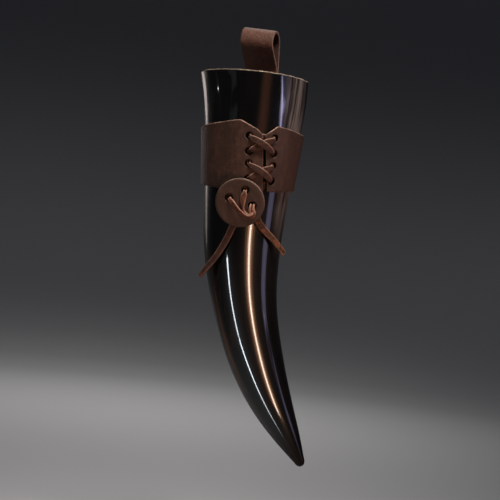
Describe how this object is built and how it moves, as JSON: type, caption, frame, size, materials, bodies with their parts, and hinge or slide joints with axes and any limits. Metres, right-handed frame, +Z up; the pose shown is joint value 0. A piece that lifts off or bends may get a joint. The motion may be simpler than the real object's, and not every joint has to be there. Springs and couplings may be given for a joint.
{
  "type": "drinking horn",
  "caption": "Polished black drinking horn, hollow and curved to a blunt tip, carried in a laced leather band with a riveted belt loop and a disc that locks the lace.",
  "frame": {"origin": "where the belt bears, in the middle of the inside top of the belt loop", "axes": "+X along the belt, +Y back towards the wearer, +Z up along the holder's upright axis"},
  "size_m": [0.101, 0.1022, 0.3097],
  "materials": {
    "horn": "polished natural horn, near black with brown and grey fibres",
    "leather": "matte dark brown vegetable tanned leather with paler cut edges",
    "lace": "russet leather thong",
    "rivet": "aged brass"
  },
  "bodies": {
    "holder": {"holder_band": "leather", "belt_loop": "leather", "upper_rivet_post": "rivet", "upper_rivet_cap": "rivet", "lower_rivet_post": "rivet", "lower_rivet_cap": "rivet", "lace": "lace"},
    "horn": {"horn": "horn"},
    "lock": {"lace_lock": "leather", "lock_lace_left": "lace", "lock_lace_top": "lace", "lace_tail_left": "lace", "lace_tail_right": "lace"}
  },
  "joints": [
    {"name": "horn_draw", "type": "hinge", "parent": "holder", "child": "horn", "pos_m": [0.5167, -0.05, -0.1037], "axis": [0, 1, 0], "range_deg": [0, 29]},
    {"name": "lock_slide", "type": "slide", "parent": "holder", "child": "lock", "axis": [-0.0172, 0.0854, -0.9962], "range_m": [0, 0.01]}
  ]
}
